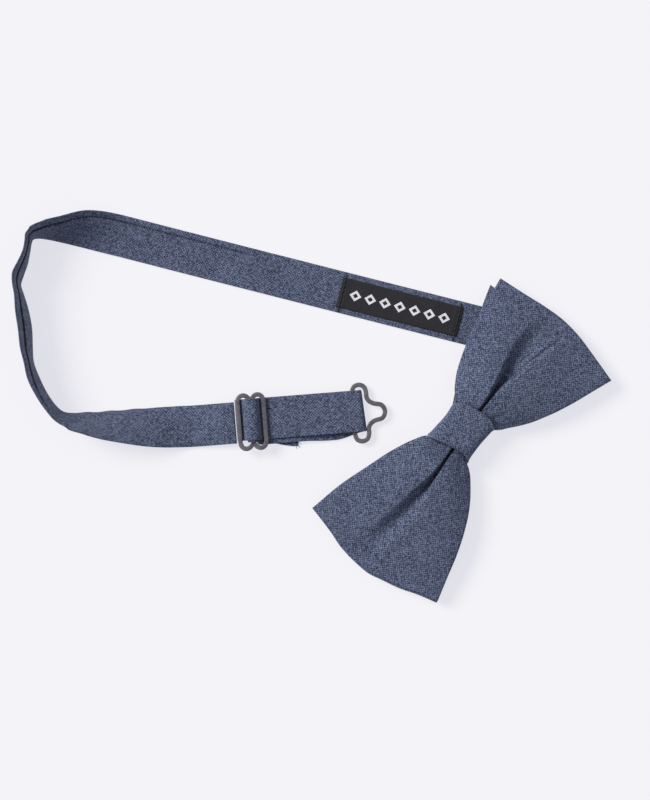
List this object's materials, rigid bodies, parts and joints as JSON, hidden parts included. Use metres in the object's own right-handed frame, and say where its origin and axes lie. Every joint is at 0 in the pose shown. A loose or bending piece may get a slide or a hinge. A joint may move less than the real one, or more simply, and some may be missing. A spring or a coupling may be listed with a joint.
{
  "type": "bow tie",
  "caption": "Pre-tied bow tie with two gathered bows, a knot band, and a neckband that a slider adjusts and a hook and eye close.",
  "frame": {"origin": "middle of the knot's flat back, on the table", "axes": "+X along the bow towards the wing that hides the strap's fold, +Y up when the tie is worn, +Z the way the bow faces"},
  "size_m": [0.1547, 0.2156, 0.0166],
  "materials": {
    "cloth": "heathered slate blue suiting, matt",
    "rear_cloth": "the same suiting, in the rear bow",
    "interlining": "off-white non-woven interlining",
    "gunmetal": "satin gunmetal plating on flat stamped wire",
    "label": "black damask weave, plain",
    "black_thread": "black polyester thread",
    "blue_thread": "slate blue polyester thread"
  },
  "bodies": {
    "bow": {"front_bow_face_panel": "cloth", "front_bow_stiffener": "interlining", "front_bow_back_panel": "cloth", "rear_bow_face_panel": "rear_cloth", "rear_bow_stiffener": "interlining", "rear_bow_back_panel": "rear_cloth", "knot_band": "cloth", "knot_seam_stitch": "blue_thread", "gathering_thread": "blue_thread", "neck_strap": "cloth", "hook_tail_stitch": "blue_thread", "woven_label": "label", "label_stitch_left": "black_thread", "label_stitch_right": "black_thread"},
    "slider": {"slider": "gunmetal", "strap_tail_stitch": "blue_thread"},
    "strap_end": {"strap_end_loop": "cloth"},
    "eye": {"eye_clasp": "gunmetal"},
    "hook": {"hook_clasp": "gunmetal"}
  },
  "joints": [
    {"name": "slider_travel", "type": "slide", "parent": "bow", "child": "slider", "axis": [0.6833, -0.7302, 0], "range_m": [-0.02, 0.03]},
    {"name": "eye_travel", "type": "slide", "parent": "slider", "child": "strap_end", "axis": [0.6833, -0.7302, 0], "range_m": [-0.015, 0.01], "deforming": ["strap_end_loop"]},
    {"name": "eye_swivel", "type": "hinge", "parent": "strap_end", "child": "eye", "pos_m": [-0.02063, 0.03743, 0.00203], "axis": [-0.7302, -0.6833, 0], "range_deg": [-75, 75]},
    {"name": "hook_swivel", "type": "hinge", "parent": "bow", "child": "hook", "pos_m": [-0.027, 0, 0.00203], "axis": [0, 1, 0], "range_deg": [-70, 2]}
  ],
  "couplings": [
    {"joint": "eye_travel", "follows": "slider_travel", "ratio": -0.5}
  ]
}
